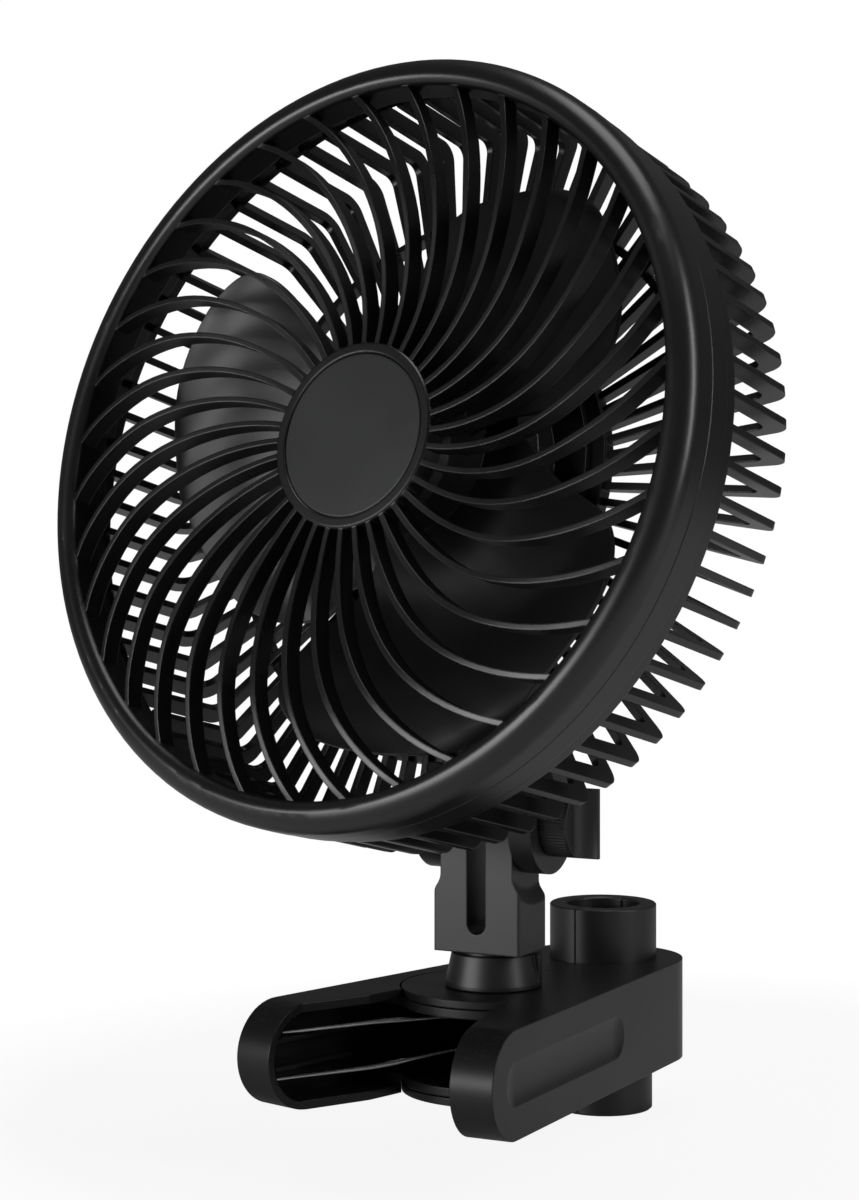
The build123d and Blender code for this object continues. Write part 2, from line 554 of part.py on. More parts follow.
def jaw_flank(side, inset):
    """The jaw's side view as a slab across it: straight at the pole, rounded at the handle's end."""
    flank = Plane(origin=clamp_point(side, 0, 0) + (0,),
                  x_dir=Vector(*clamp_point(side, 0, 1), 0) - Vector(*clamp_point(side, 0, 0), 0),
                  z_dir=Vector(*clamp_point(side, 0, 0), 0) - Vector(*clamp_point(side, 1, 0), 0))
    height = 2 * (BODY_HALF - inset)
    with BuildSketch(flank) as view:
        with Locations((HANDLE - inset - height / 2, 0)):
            Circle(height / 2)
        with Locations(((HANDLE - inset - height / 2 - 90) / 2, 0)):
            Rectangle(HANDLE - inset - height / 2 + 90, height)
    return view.sketch


def jaw_shell(side, plate):
    """One hollow jaw, open to the middle, with its socket for a collar, thumb recess and inner ribs."""
    with BuildPart() as inside:
        with BuildSketch(Plane.XY.offset(-BODY_HALF + plate)) as room:
            add(jaw_plan(side, SKIN))
            Polygon(clamp_point(side, WALL_OUT - SKIN - 1, HANDLE - SKIN), clamp_point(side, 2, HANDLE - SKIN),
                    (-side * 3, -NECK_REACH), (-side * 3, JAW_TIP - SKIN), (side * 6, JAW_TIP - SKIN - 1.5),
                    (side * 12, 0), clamp_point(side, WALL_OUT - SKIN - 1, 10), align=None)
        extrude(room.sketch, amount=2 * (BODY_HALF - plate))
        extrude(jaw_flank(side, SKIN), amount=60, both=True, mode=Mode.INTERSECT)
    with BuildPart() as shell:
        with BuildSketch(Plane.XY.offset(-BODY_HALF)) as plan:
            add(jaw_plan(side, 0))
        extrude(plan.sketch, amount=2 * BODY_HALF)
        extrude(jaw_flank(side, 0), amount=60, both=True, mode=Mode.INTERSECT)
        add(inside.part, mode=Mode.SUBTRACT)
        # socket round the collar, on this jaw's side only
        with BuildSketch(Plane.XY.offset(-BODY_HALF)) as socket:
            Circle(COLLAR_R + SOCKET)
            with Locations((-side * (30 - SPLIT), 0)):
                Rectangle(60, 60, mode=Mode.SUBTRACT)
        extrude(socket.sketch, amount=2 * BODY_HALF)
        drum(Plane.XY, COLLAR_R, -BODY_HALF - 1, BODY_HALF + 1, mode=Mode.SUBTRACT)
        # ribs along the inside of the handle
        for height in (-3.4, 3.4):
            with BuildSketch(Plane.XY.offset(height - 0.5)) as rib:
                Polygon(clamp_point(side, WALL_OUT - SKIN + 0.5, 24), clamp_point(side, WALL_OUT - SKIN + 0.5, 56),
                        clamp_point(side, WALL_OUT - SKIN - HANDLE_RIB, 54),
                        clamp_point(side, WALL_OUT - SKIN - HANDLE_RIB, 28), align=None)
            extrude(rib.sketch, amount=1)
        # shallow thumb recess in the outer face, hollowed by a round-ended roller
        face = Plane(origin=(*clamp_point(side, WALL_OUT, THUMB_MID), 0.3),
                     x_dir=Vector(*clamp_point(side, 0, 1), 0) - Vector(*clamp_point(side, 0, 0), 0),
                     z_dir=Vector(*clamp_point(side, 1, 0), 0) - Vector(*clamp_point(side, 0, 0), 0))
        roller_r = THUMB_H ** 2 / (8 * THUMB_DEEP) + THUMB_DEEP / 2
        roller = placed(face, (0, 0, roller_r - THUMB_DEEP), (90, 0, 0))
        with BuildSketch(roller) as recess:
            SlotCenterToCenter(THUMB_L - THUMB_H, 2 * roller_r)
            with Locations((0, roller_r)):
                Rectangle(2 * THUMB_L, 2 * roller_r, mode=Mode.SUBTRACT)
        revolve(recess.sketch, axis=Axis(roller.origin, roller.x_dir), mode=Mode.SUBTRACT)
    return shell.part


CUTOUT_R = DISC_R + 0.5
INNER_LOW = BODY_HALF - PLATE - 2 * GAP - PLATE  # underside of the left jaw's knuckle plates
INNER_HIGH = BODY_HALF - PLATE - GAP

with BuildPart() as jaw_right:
    add(jaw_shell(1, PLATE))
    for low in (-BODY_HALF, BODY_HALF - PLATE):
        drum(neck, DISC_R, low, low + PLATE)
    drum(neck, HINGE_R + RUN, -BODY_HALF - 1, BODY_HALF + 1, mode=Mode.SUBTRACT)
jaw_right.part.label = "jaw_right"
export_step(jaw_right.part, "parts/jaw_right.step")

with BuildPart() as hinge_sleeve:
    inner_half = BODY_HALF - max(PLATE, SKIN)
    drum(neck, SLEEVE_R, -inner_half, inner_half, hole=HINGE_R + RUN)
hinge_sleeve.part.label = "hinge_sleeve"
export_step(hinge_sleeve.part, "parts/hinge_sleeve.step")

with BuildPart() as jaw_left:
    add(jaw_shell(-1, BODY_HALF - INNER_HIGH))
    drum(neck, CUTOUT_R, -BODY_HALF - 1, BODY_HALF + 1, mode=Mode.SUBTRACT)
    with BuildSketch(Plane.XY) as knuckle:
        with Locations((0, -NECK_REACH)):
            Circle(DISC_R)
        Polygon(clamp_point(-1, WALL_OUT - 1, 20), clamp_point(-1, WALL_OUT - 1, -20), clamp_point(-1, 12, -18),
                clamp_point(-1, 12, 18), align=None)
        with Locations((0, -NECK_REACH)):
            Circle(SLEEVE_R + RUN, mode=Mode.SUBTRACT)
    for low in (-INNER_HIGH, INNER_LOW):
        extrude(Plane.XY.offset(low) * knuckle.sketch_local, amount=INNER_HIGH - INNER_LOW)
jaw_left.part.label = "jaw_left"
export_step(jaw_left.part, "parts/jaw_left.step")


def grip(side):
    """Half of the split collar that holds the pole."""
    with BuildPart() as half:
        lathe(Plane.XY, (BORE_R + 0.4, -COLLAR_HALF), (COLLAR_FOOT - 0.3, -COLLAR_HALF),
              (COLLAR_FOOT, -COLLAR_HALF + 0.3), (COLLAR_FOOT, -BODY_HALF), (COLLAR_R, -BODY_HALF),
              (COLLAR_R, COLLAR_HALF - 0.3), (COLLAR_R - 0.3, COLLAR_HALF), (BORE_R + 0.4, COLLAR_HALF),
              (BORE_R, COLLAR_HALF - 0.4), (BORE_R, -COLLAR_HALF + 0.4))
        block(Plane.XY, (60, 60, 60), -30, centre=(-side * (30 - SPLIT), 0), mode=Mode.SUBTRACT)
    return half.part


with BuildPart() as grip_right:
    add(grip(1))
grip_right.part.label = "grip_right"
export_step(grip_right.part, "parts/grip_right.step")

with BuildPart() as grip_left:
    add(grip(-1))
grip_left.part.label = "grip_left"
export_step(grip_left.part, "parts/grip_left.step")


# ---------------------------------------------------------------- torsion spring
def biarc(start, start_dir, end, end_dir):
    """Two arcs from one point and direction to another, as edges."""
    chord = end - start
    both = start_dir + end_dir
    spread = 2 * (1 - start_dir.dot(end_dir))
    along = chord.dot(both)
    if spread < 1e-9:
        reach = chord.dot(chord) / (4 * chord.dot(end_dir))
    else:
        reach = (-along + sqrt(along * along + spread * chord.dot(chord))) / spread
    joint = (start + end + (start_dir - end_dir) * reach) * 0.5
    turn = (joint - start).normalized() * 2 * start_dir.dot((joint - start).normalized()) - start_dir
    return [Edge.make_tangent_arc(start, start_dir, joint), Edge.make_tangent_arc(joint, turn, end)]


def coil_point(angle, height):
    """A point of the wire's coil; the angle runs anticlockwise from the handle side."""
    return Vector(COIL_R * sin(radians(angle)), -NECK_REACH - COIL_R * cos(radians(angle)), height)


def wall_point(side, ahead, height, clear=GAP):
    """A point of the wire near the inside of a jaw's wall."""
    return Vector(*clamp_point(side, WALL_OUT - SKIN - WIRE_R - clear, ahead), height)


def coil_angle(point, leaving):
    """Angle of the coil where a straight leg meets it: leaving is 1 towards the point, -1 from it."""
    way = Vector(point.X, point.Y + NECK_REACH) * leaving
    return degrees(atan2(way.Y, way.X) + leaving * asin(COIL_R / way.length))


COIL_STEPS = 4
COIL_END = BRIDGE_Z + COIL_DROP


def half_spring(way, free_end, elbow_share, elbow_z):
    """Nodes (point, direction) from a free end to the bridge; way is 1 for the upper half, -1 for the lower."""
    bridge = wall_point(1, 40, SPRING_Z + way * BRIDGE_Z, clear=HANDLE_RIB + 1.1)
    first, last = coil_angle(free_end, -1), coil_angle(bridge, 1) + 360
    entry = coil_point(first, SPRING_Z + way * COIL_END)
    elbow = free_end + (entry - free_end) * elbow_share
    elbow.Z = elbow_z
    start, into = (elbow - free_end).normalized(), (entry - elbow).normalized()
    nodes = [(free_end, start), (elbow - start * 4, start), (elbow + into * 4, into)]
    slope = -way * COIL_DROP / (COIL_R * radians(last - first))
    for step in range(COIL_STEPS + 1):
        angle = first + (last - first) * step / COIL_STEPS
        height = SPRING_Z + way * (COIL_END - COIL_DROP * step / COIL_STEPS)
        nodes.append((coil_point(angle, height), Vector(cos(radians(angle)), sin(radians(angle)), slope).normalized()))
    return nodes + [(bridge, Vector(cos(radians(last)), sin(radians(last)), 0))]


upper = half_spring(1, wall_point(-1, 49, 4.7), 0.45, 6.3)
lower = half_spring(-1, wall_point(-1, 51.5, -6.5), 0.42, -4.9)
bend = upper[-1][1]
nodes = upper + [(upper[-1][0] + bend * BRIDGE_Z + Vector(0, 0, -BRIDGE_Z), Vector(0, 0, -1))]
nodes += [(point, way * -1) for point, way in reversed(lower)]
edges = []
for (start, start_dir), (end, end_dir) in zip(nodes, nodes[1:]):
    straight = (end - start).normalized()
    if straight.dot(start_dir) > 1 - 1e-9 and straight.dot(end_dir) > 1 - 1e-9:
        edges.append(Edge.make_line(start, end))
    else:
        edges += biarc(start, start_dir, end, end_dir)
wire_path = Wire(edges)

with BuildPart() as torsion_spring:
    with BuildSketch(Plane(origin=nodes[0][0], z_dir=nodes[0][1])):
        Circle(WIRE_R)
    sweep(path=wire_path)
torsion_spring.part.label = "torsion_spring"
export_step(torsion_spring.part, "parts/torsion_spring.step")

samples = [wire_path.position_at(i / 900) for i in range(901)]
step_length = wire_path.length / 900
apart = int(2 * pi / step_length) + 1
least = min(dist(tuple(a), tuple(b)) for i, a in enumerate(samples) for b in samples[i + apart:])
print(f"torsion_spring: least gap to itself {least - 2 * WIRE_R:.2f} mm")
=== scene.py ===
"""Finish for the clip fan: moulded black plastic, drawn steel, the wound spring and the stage.

Every size is in metres in the same frame as the solids: the origin is on the axis of the clamp's
bore at its mid-height, +Z is up and the handles point along -Y.
"""
from math import asin, atan2, cos, pi, radians, sin

import bpy
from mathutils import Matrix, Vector


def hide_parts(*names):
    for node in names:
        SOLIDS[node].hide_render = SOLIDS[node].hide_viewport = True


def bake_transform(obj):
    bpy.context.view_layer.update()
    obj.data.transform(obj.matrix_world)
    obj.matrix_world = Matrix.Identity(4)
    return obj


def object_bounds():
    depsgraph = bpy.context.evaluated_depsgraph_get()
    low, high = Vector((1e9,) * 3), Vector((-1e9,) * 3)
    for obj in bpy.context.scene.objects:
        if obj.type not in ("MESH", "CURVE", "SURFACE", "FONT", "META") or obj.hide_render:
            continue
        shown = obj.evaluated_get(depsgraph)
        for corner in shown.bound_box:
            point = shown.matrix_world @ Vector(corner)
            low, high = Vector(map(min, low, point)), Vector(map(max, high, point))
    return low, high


bl_info = {
    "name": "Clip fan finish",
    "version": (1, 0, 0),
    "blender": (4, 5, 0),
    "location": "3D View > Sidebar > Clip Fan",
    "description": "Finishes the clip fan's plastics and metals, winds its spring, sets the stage",
    "category": "Material",
}

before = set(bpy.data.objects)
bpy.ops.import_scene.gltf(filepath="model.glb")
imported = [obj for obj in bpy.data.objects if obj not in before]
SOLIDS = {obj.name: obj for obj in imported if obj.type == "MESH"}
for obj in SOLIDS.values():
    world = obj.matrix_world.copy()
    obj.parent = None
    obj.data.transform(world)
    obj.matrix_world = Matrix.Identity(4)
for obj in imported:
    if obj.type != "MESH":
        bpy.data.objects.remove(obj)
CAD_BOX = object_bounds()

GRILLES = ("front_grille", "rear_cage", "motor_cup")
MOUNT_PARTS = ("yoke", "tilt_block", "rear_housing", "speed_control", "power_socket")
KNOBS = ("tilt_knob", "speed_knob")
CLAMP_PARTS = ("jaw_right", "jaw_left", "hinge_sleeve")
COLLARS = ("grip_right", "grip_left")
PLATED = ("tilt_bolt", "tilt_nut", "post_screw", "post_washer", "swivel_screw", "swivel_washer",
          "housing_screws", "spring_washer")
TURNED = ("motor_shaft", "bearing_tube", "rotor_can")

# the clamp, as the solids have it
HINGE_Y = -0.053
JAW_ANGLE = radians(8)
HANDLE_INSIDE = 0.027  # hinge axis to the inner face of a handle's wall
HANDLE_RIB = 0.004  # depth of the ribs on that face

# the route of the spring's wire
COIL_STEPS = 12
WALL_GAP = 0.0003  # from a free end to the handle's wall
RIB_GAP = 0.0011  # from the bridge to the ribs
BRIDGE_AHEAD = 0.04  # hinge axis to the bridge, along the handle
ELBOW_HALF = 0.004  # from an elbow to where its bend begins
UPPER_LEG = {"ahead": 0.049, "height": 0.0047, "share": 0.45, "elbow_z": 0.0063}
LOWER_LEG = {"ahead": 0.0515, "height": -0.0065, "share": 0.42, "elbow_z": -0.0049}
END_REACH = 0.003  # stands for the distance to a neighbour that a free end doesn't have
HANDLE_SHARE = 0.345  # length of a knot's handle over the distance to the next knot

# the picture and the floor
PICTURE_ROWS = 1200
HORIZON_ROW = 464
FLOOR_DROP = 0.0005  # from the lowest solid down to the floor
FLOOR_RADIUS = 1.6
FADE_START, FADE_END = 0.15, 0.8  # the floor turns to plain white between these distances
NEAR_WHITE = 0.9  # how white the floor is at the clamp
FLOOR_COLOUR = (0.86, 0.86, 0.86, 1)
LAMP_TARGET = (0, -0.1, 0.12)
LAMPS = (
    ("Front Window", (0.9, 0.5), 11, (-0.55, -1.28, 0.14)),
    ("Right Strip", (0.2, 0.9), 5, (1.05, 0.0, 0.6)),
    ("Overhead", (0.7, 0.7), 5, (0.1, -0.1, 1.3)),
)


# ---------------------------------------------------------------- settings
class CLIPFAN_PG_finish(bpy.types.PropertyGroup):
    """Colours and grain of the finishes."""
    grille_colour: bpy.props.FloatVectorProperty(
        name="Grille Plastic", description="Colour of the grille and cage", subtype="COLOR", size=3,
        min=0, max=1, default=(0.0065, 0.0066, 0.0069))
    mount_colour: bpy.props.FloatVectorProperty(
        name="Mount Plastic", description="Colour of the clamp, block, yoke and knobs",
        subtype="COLOR", size=3, min=0, max=1, default=(0.0085, 0.0086, 0.009))
    blade_colour: bpy.props.FloatVectorProperty(
        name="Blade Plastic", description="Colour of the blades", subtype="COLOR", size=3,
        min=0, max=1, default=(0.009, 0.0091, 0.0095))
    disc_colour: bpy.props.FloatVectorProperty(
        name="Hub Disc", description="Colour of the disc in the middle of the grille",
        subtype="COLOR", size=3, min=0, max=1, default=(0.014, 0.0145, 0.015))
    steel_colour: bpy.props.FloatVectorProperty(
        name="Steel", description="Colour of the spring's wire", subtype="COLOR", size=3,
        min=0, max=1, default=(0.66, 0.66, 0.67))
    grain_size: bpy.props.FloatProperty(
        name="Grain Size", description="Width of one bump of the moulded grain", unit="LENGTH",
        min=0.0001, max=0.005, default=0.00045)
    edge_radius: bpy.props.FloatProperty(
        name="Edge Rounding", description="How far moulded edges look rounded", unit="LENGTH",
        min=0.0, max=0.002, default=0.0005)


class CLIPFAN_PG_spring(bpy.types.PropertyGroup):
    """Sizes of the torsion spring."""
    wire: bpy.props.FloatProperty(
        name="Wire Radius", description="Radius of the spring's wire", unit="LENGTH",
        min=0.0002, max=0.002, default=0.00065)
    coil: bpy.props.FloatProperty(
        name="Coil Radius", description="Middle radius of the coils", unit="LENGTH",
        min=0.002, max=0.02, default=0.0044)
    drop: bpy.props.FloatProperty(
        name="Coil Drop", description="Height between the two ends of a coil", unit="LENGTH",
        min=0.001, max=0.005, default=0.00175)
    bridge: bpy.props.FloatProperty(
        name="Bridge", description="Half the height of the bridge between the coils", unit="LENGTH",
        min=0.001, max=0.005, default=0.00165)
    middle: bpy.props.FloatProperty(
        name="Middle", description="Height of the middle of the two coils", unit="LENGTH",
        min=-0.005, max=0.005, default=0.0029)


class CLIPFAN_PG_stage(bpy.types.PropertyGroup):
    """Camera, lamps and the room's ambient light."""
    heading: bpy.props.FloatProperty(
        name="Camera Heading", description="Direction that the camera looks in, from +Y towards -X",
        subtype="ANGLE", default=radians(34.8))
    camera: bpy.props.FloatVectorProperty(
        name="Camera Position", description="Where the camera stands", subtype="TRANSLATION",
        size=3, default=(0.3972, -0.6529, 0.1445))
    lens: bpy.props.FloatProperty(
        name="Lens", description="Focal length for a 36 mm long side", unit="CAMERA",
        min=10, max=300, default=85.5)
    lamps: bpy.props.FloatProperty(
        name="Lamp Level", description="Multiplies the power of every lamp",
        min=0, max=10, default=1.0)
    ambient: bpy.props.FloatProperty(
        name="Ambient Level", description="Light from the white room all round",
        min=0, max=5, default=0.08)


# ---------------------------------------------------------------- shader groups
def link(tree, start, end):
    """Joins an output socket to an input socket."""
    tree.links.new(start, end)


def new_group(name, inputs, outputs):
    """An empty shader node group: inputs are (name, type, default)."""
    tree = bpy.data.node_groups.new(name, "ShaderNodeTree")
    for label, kind, value in inputs:
        socket = tree.interface.new_socket(label, in_out="INPUT", socket_type=kind)
        if value is not None:
            socket.default_value = value
    for label, kind in outputs:
        tree.interface.new_socket(label, in_out="OUTPUT", socket_type=kind)
    return tree, tree.nodes.new("NodeGroupInput"), tree.nodes.new("NodeGroupOutput")


def math_node(tree, operation, first, second, clamp=False):
    """One step of arithmetic on two values, each a number or a socket."""
    node = tree.nodes.new("ShaderNodeMath")
    node.operation = operation
    node.use_clamp = clamp
    for index, value in enumerate((first, second)):
        if isinstance(value, (int, float)):
            node.inputs[index].default_value = value
        else:
            link(tree, value, node.inputs[index])
    return node.outputs[0]


def noise(tree, coordinates, scale, detail=2.0, roughness=0.5, stretch=None):
    """A noise value; scale is a number or a socket."""
    if stretch:
        mapping = tree.nodes.new("ShaderNodeMapping")
        mapping.inputs["Scale"].default_value = stretch
        link(tree, coordinates, mapping.inputs["Vector"])
        coordinates = mapping.outputs[0]
    node = tree.nodes.new("ShaderNodeTexNoise")
    node.inputs["Detail"].default_value = detail
    node.inputs["Roughness"].default_value = roughness
    link(tree, coordinates, node.inputs["Vector"])
    if isinstance(scale, (int, float)):
        node.inputs["Scale"].default_value = scale
    else:
        link(tree, scale, node.inputs["Scale"])
    return node.outputs["Fac"]


def spread(tree, value, low, high, out_low=0.0, out_high=1.0):
    """A value's range stretched to another range."""
    node = tree.nodes.new("ShaderNodeMapRange")
    node.inputs["From Min"].default_value = low
    node.inputs["From Max"].default_value = high
    node.inputs["To Min"].default_value = out_low
    node.inputs["To Max"].default_value = out_high
    link(tree, value, node.inputs["Value"])
    return node.outputs[0]


def moulded_grain():
    """Fine spark-eroded grain of a mould, with the slow unevenness of a large moulding."""
    tree, given, result = new_group(
        "Moulded Grain",
        [("Grain Size", "NodeSocketFloat", 0.0005), ("Depth", "NodeSocketFloat", 1.0)],
        [("Height", "NodeSocketFloat"), ("Unevenness", "NodeSocketFloat")])
    place = tree.nodes.new("ShaderNodeTexCoord").outputs["Object"]
    density = math_node(tree, "DIVIDE", 0.6, given.outputs["Grain Size"])
    fine = noise(tree, place, density, detail=1.5, roughness=0.6)
    cells = tree.nodes.new("ShaderNodeTexVoronoi")
    cells.feature = "SMOOTH_F1"
    link(tree, place, cells.inputs["Vector"])
    link(tree, math_node(tree, "MULTIPLY", density, 1.7), cells.inputs["Scale"])
    both = math_node(tree, "ADD", math_node(tree, "MULTIPLY", fine, 0.6),
                     math_node(tree, "MULTIPLY", cells.outputs["Distance"], 0.5))
    link(tree, math_node(tree, "MULTIPLY", both, given.outputs["Depth"]), result.inputs["Height"])
    link(tree, spread(tree, noise(tree, place, 22, detail=4, roughness=0.55), 0.35, 0.68),
         result.inputs["Unevenness"])
    return tree


def edge_highlight_and_dust():
    """A painted highlight along rounded edges, and the dust that settles on upward faces."""
    tree, given, result = new_group(
        "Edge Highlight and Dust",
        [("Width", "NodeSocketFloat", 0.001), ("Dust", "NodeSocketFloat", 0.3)],
        [("Edge", "NodeSocketFloat"), ("Dust", "NodeSocketFloat"), ("Scuffs", "NodeSocketFloat")])
    place = tree.nodes.new("ShaderNodeTexCoord").outputs["Object"]
    geometry = tree.nodes.new("ShaderNodeNewGeometry")
    bevel = tree.nodes.new("ShaderNodeBevel")
    bevel.samples = 4
    link(tree, given.outputs["Width"], bevel.inputs["Radius"])
    dot = tree.nodes.new("ShaderNodeVectorMath")
    dot.operation = "DOT_PRODUCT"
    link(tree, bevel.outputs["Normal"], dot.inputs[0])
    link(tree, geometry.outputs["Normal"], dot.inputs[1])
    # painted highlight: the edge mask below lightens the plastic's colour along rounded edges
    turned = math_node(tree, "SUBTRACT", 1.0, dot.outputs["Value"], clamp=True)
    broken = spread(tree, noise(tree, place, 160, detail=3), 0.35, 0.65)
    edge = math_node(tree, "MULTIPLY", spread(tree, turned, 0.02, 0.3), broken)
    link(tree, edge, result.inputs["Edge"])
    split = tree.nodes.new("ShaderNodeSeparateXYZ")
    link(tree, geometry.outputs["Normal"], split.inputs[0])
    up = spread(tree, split.outputs["Z"], 0.35, 1.0)
    specks = spread(tree, noise(tree, place, 900, detail=2, roughness=0.7), 0.52, 0.75)
    settled = math_node(tree, "MULTIPLY", up, specks)
    link(tree, math_node(tree, "MULTIPLY", settled, given.outputs["Dust"]), result.inputs["Dust"])
    scratches = noise(tree, place, 60, detail=6, roughness=0.75, stretch=(1.0, 5.0, 0.6))
    link(tree, spread(tree, scratches, 0.56, 0.72), result.inputs["Scuffs"])
    return tree


def drawn_lines():
    """Fine lines that drawing or turning leaves in metal, along a chosen direction."""
    tree, given, result = new_group(
        "Drawn Lines",
        [("Stretch", "NodeSocketVector", None), ("Fineness", "NodeSocketFloat", 900.0)],
        [("Height", "NodeSocketFloat"), ("Tone", "NodeSocketFloat")])
    place = tree.nodes.new("ShaderNodeTexCoord").outputs["Object"]
    scaled = tree.nodes.new("ShaderNodeVectorMath")
    scaled.operation = "MULTIPLY"
    link(tree, place, scaled.inputs[0])
    link(tree, given.outputs["Stretch"], scaled.inputs[1])
    lines = noise(tree, scaled.outputs[0], given.outputs["Fineness"], detail=3, roughness=0.6)
    link(tree, lines, result.inputs["Height"])
    link(tree, spread(tree, noise(tree, place, 130, detail=3), 0.3, 0.7), result.inputs["Tone"])
    return tree


def shared(name, build):
    """A node group, built the first time it is asked for."""
    return bpy.data.node_groups.get(name) or build()


# ---------------------------------------------------------------- materials
DUST_COLOUR = (0.11, 0.108, 0.102)
DUST_DULLS = 0.35  # roughness that full dust adds
SCUFFS_DULL = 0.035  # roughness that a scuff adds
EDGE_WIDTH = 1.6  # width of the painted edge highlight over the radius of the edges' rounding
EDGE_SHARE = 0.55  # how far an edge goes to its lighter tone, a painted highlight
EDGE_LIFT = 2.6  # how much lighter that painted highlight is
EDGE_POLISH = 0.08  # roughness taken away along the edges that get the painted highlight
PATCH_DARK, PATCH_LIGHT = 0.82, 1.18  # the slow unevenness of a moulding's tone
PATCH_GLOSS = 0.03  # how far that unevenness moves its roughness either way
GRAIN_HEIGHT = 0.0001
LINE_HEIGHT = 0.00005
LINE_DARK = 0.75  # tone of the darkest patches on metal
LINE_POLISH, LINE_DULL = 0.05, 0.08  # what the lines take from a metal's roughness and add to it


def place_group(tree, group, **values):
    """A node group in a material, with its own values."""
    node = tree.nodes.new("ShaderNodeGroup")
    node.node_tree = group
    for label, value in values.items():
        node.inputs[label.replace("_", " ")].default_value = value
    return node


def blank(name):
    """A new material with its node tree and its shader."""
    material = bpy.data.materials.new(name)
    material.use_nodes = True
    tree = material.node_tree
    return material, tree, tree.nodes["Principled BSDF"]


def mixed(tree, factor, first, second):
    """A colour between two colours, by a factor socket."""
    node = tree.nodes.new("ShaderNodeMix")
    node.data_type = "RGBA"
    link(tree, factor, node.inputs["Factor"])
    for index, colour in ((6, first), (7, second)):
        if isinstance(colour, bpy.types.NodeSocket):
            link(tree, colour, node.inputs[index])
        else:
            node.inputs[index].default_value = (*colour, 1.0)
    return node.outputs[2]


def lifted(colour, amount):
    """A colour made lighter or darker."""
    return [min(1.0, channel * amount) for channel in colour]


def moulded(name, colour, roughness, depth, dust, specular=0.5):
    """Moulded plastic: grain, uneven gloss, a painted highlight along the edges and a little dust.
    """
    settings = bpy.context.scene.clipfan_finish
    material, tree, shader = blank(name)
    grain = place_group(tree, shared("Moulded Grain", moulded_grain),
                        Grain_Size=settings.grain_size, Depth=1.0)
    highlight_dust_node = place_group(tree, shared("Edge Highlight and Dust", edge_highlight_and_dust),
                         Width=settings.edge_radius * EDGE_WIDTH, Dust=dust)
    patches = grain.outputs["Unevenness"]
    edge, scuffs, settled = (highlight_dust_node.outputs[label] for label in ("Edge", "Scuffs", "Dust"))
    tone = mixed(tree, patches, lifted(colour, PATCH_DARK), lifted(colour, PATCH_LIGHT))
    # painted highlight: rounded edges are lightened towards EDGE_LIFT times the colour
    painted_highlight = math_node(tree, "MULTIPLY", edge, EDGE_SHARE, clamp=True)
    tone = mixed(tree, painted_highlight, tone, lifted(colour, EDGE_LIFT))
    tone = mixed(tree, settled, tone, DUST_COLOUR)
    link(tree, tone, shader.inputs["Base Color"])
    gloss = spread(tree, patches, 0, 1, roughness - PATCH_GLOSS, roughness + PATCH_GLOSS)
    gloss = math_node(tree, "SUBTRACT", gloss, math_node(tree, "MULTIPLY", edge, EDGE_POLISH))
    gloss = math_node(tree, "ADD", gloss, math_node(tree, "MULTIPLY", scuffs, SCUFFS_DULL))
    dulled = math_node(tree, "MULTIPLY", settled, DUST_DULLS)
    link(tree, math_node(tree, "ADD", gloss, dulled, clamp=True), shader.inputs["Roughness"])
    bevel = tree.nodes.new("ShaderNodeBevel")
    bevel.samples = 6
    bevel.inputs["Radius"].default_value = settings.edge_radius
    bump = tree.nodes.new("ShaderNodeBump")
    bump.inputs["Strength"].default_value = depth
    bump.inputs["Distance"].default_value = GRAIN_HEIGHT
    link(tree, grain.outputs["Height"], bump.inputs["Height"])
    link(tree, bevel.outputs["Normal"], bump.inputs["Normal"])
    link(tree, bump.outputs["Normal"], shader.inputs["Normal"])
    shader.inputs["Specular IOR Level"].default_value = specular
    return material


def metal(name, colour, roughness, stretch, fineness, depth=0.04):
    """Drawn, turned or plated metal with its tool lines."""
    material, tree, shader = blank(name)
    lines = place_group(tree, shared("Drawn Lines", drawn_lines),
                        Stretch=stretch, Fineness=fineness)
    tone = mixed(tree, lines.outputs["Tone"], lifted(colour, LINE_DARK), colour)
    link(tree, tone, shader.inputs["Base Color"])
    gloss = spread(tree, lines.outputs["Height"], 0.3, 0.7,
                   roughness - LINE_POLISH, roughness + LINE_DULL)
    link(tree, gloss, shader.inputs["Roughness"])
    bump = tree.nodes.new("ShaderNodeBump")
    bump.inputs["Strength"].default_value = depth
    bump.inputs["Distance"].default_value = LINE_HEIGHT
    link(tree, lines.outputs["Height"], bump.inputs["Height"])
    link(tree, bump.outputs["Normal"], shader.inputs["Normal"])
    shader.inputs["Metallic"].default_value = 1.0
    return material


def dress(names, material):
    """Gives solids their material."""
    for name in names:
        data = SOLIDS[name].data
        data.materials.clear()
        data.materials.append(material)


# ---------------------------------------------------------------- operators
class CLIPFAN_OT_grilles(bpy.types.Operator):
    """Satin black plastic of the grille, the cage, the motor's cup and the bare hub disc"""
    bl_idname = "clipfan.grilles"
    bl_label = "Finish Grilles"

    def execute(self, context):
        settings = context.scene.clipfan_finish
        dress(GRILLES, moulded("Grille Plastic", settings.grille_colour, 0.3, depth=0.04, dust=0.1))
        dress(("hub_disc",),
              moulded("Hub Disc Plastic", settings.disc_colour, 0.42, depth=0.03, dust=0.0))
        return {"FINISHED"}


class CLIPFAN_OT_blades(bpy.types.Operator):
    """Smooth dark plastic of the blades"""
    bl_idname = "clipfan.blades"
    bl_label = "Finish Blades"

    def execute(self, context):
        settings = context.scene.clipfan_finish
        dress(("fan_blades",), moulded("Blade Plastic", settings.blade_colour, 0.38,
                                       depth=0.02, dust=0.1, specular=0.35))
        return {"FINISHED"}


